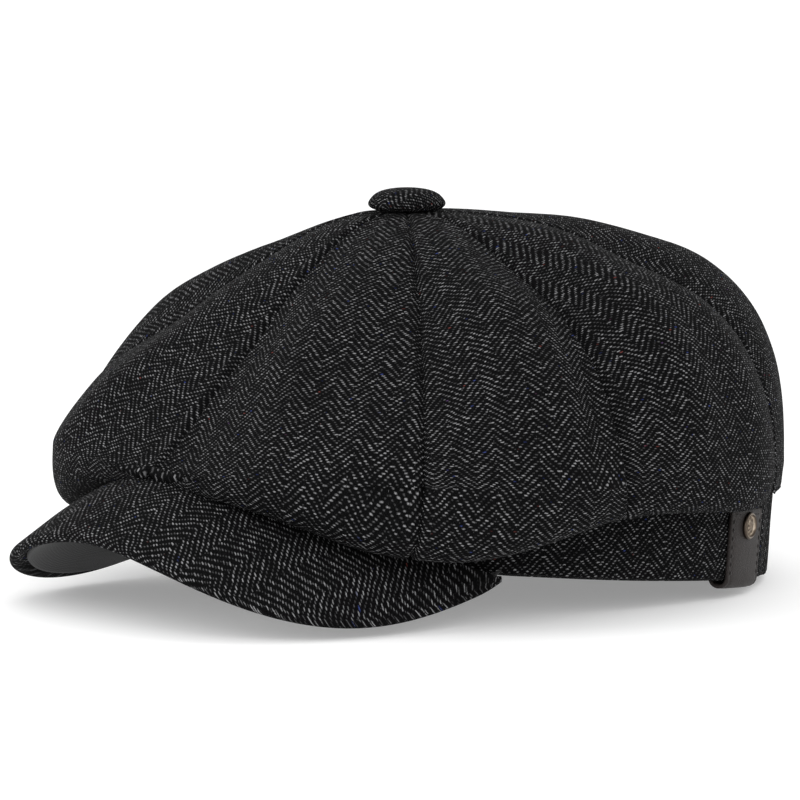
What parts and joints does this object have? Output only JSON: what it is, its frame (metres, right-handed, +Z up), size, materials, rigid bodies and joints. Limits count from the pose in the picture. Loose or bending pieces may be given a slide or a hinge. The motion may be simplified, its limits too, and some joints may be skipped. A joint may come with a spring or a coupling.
{
  "type": "newsboy cap",
  "caption": "Panelled newsboy cap: full crown with a covered button, stiff curved peak, and a band with leather tabs and an elastic back.",
  "frame": {"origin": "middle of the cap's box, on the table it rests on", "axes": "+Z up from the table, -Y towards the peak, +X to the wearer's left. The head opening leans 5.6 degrees, front up, as the cap rests"},
  "size_m": [0.2211, 0.2546, 0.1246],
  "materials": {
    "tweed": "charcoal herringbone wool, matt",
    "under_cloth": "plain dark cloth, matt",
    "lining": "satin lining",
    "sweatband": "ribbed cotton",
    "elastic": "woven elastic",
    "stiffener": "buckram",
    "board": "moulded sheet",
    "leather": "dark brown, satin",
    "rivet_metal": "antiqued",
    "button_metal": "plain stamped"
  },
  "bodies": {
    "crown_and_band": {"band_front": "tweed", "band_stiffener": "stiffener", "button_back": "button_metal", "button_cover": "tweed", "button_shell": "button_metal", "button_washer": "button_metal", "crown_front_left": "tweed", "crown_front_right": "tweed", "crown_rear_left": "tweed", "crown_rear_right": "tweed", "crown_side_front_left": "tweed", "crown_side_front_right": "tweed", "crown_side_rear_left": "tweed", "crown_side_rear_right": "tweed", "leather_tab_left": "leather", "leather_tab_right": "leather", "lining_front_left": "lining", "lining_front_right": "lining", "lining_rear_left": "lining", "lining_rear_right": "lining", "rivet_burrs": "rivet_metal", "rivet_caps": "rivet_metal", "sweatband_front": "sweatband"},
    "peak": {"peak_board": "board", "peak_top_cover": "tweed", "peak_under_cover": "under_cloth"},
    "rear_band": {"band_rear": "tweed", "elastic_strip": "elastic", "sweatband_rear": "sweatband"}
  },
  "joints": [
    {"name": "peak_tilt", "type": "hinge", "parent": "crown_and_band", "child": "peak", "pos_m": [0, -0.06108, 0.03009], "axis": [1, 0, 0], "range_deg": [-4, 8]},
    {"name": "elastic_stretch", "type": "slide", "parent": "crown_and_band", "child": "rear_band", "axis": [0, 0.9952, -0.0976], "range_m": [0, 0.008]}
  ]
}
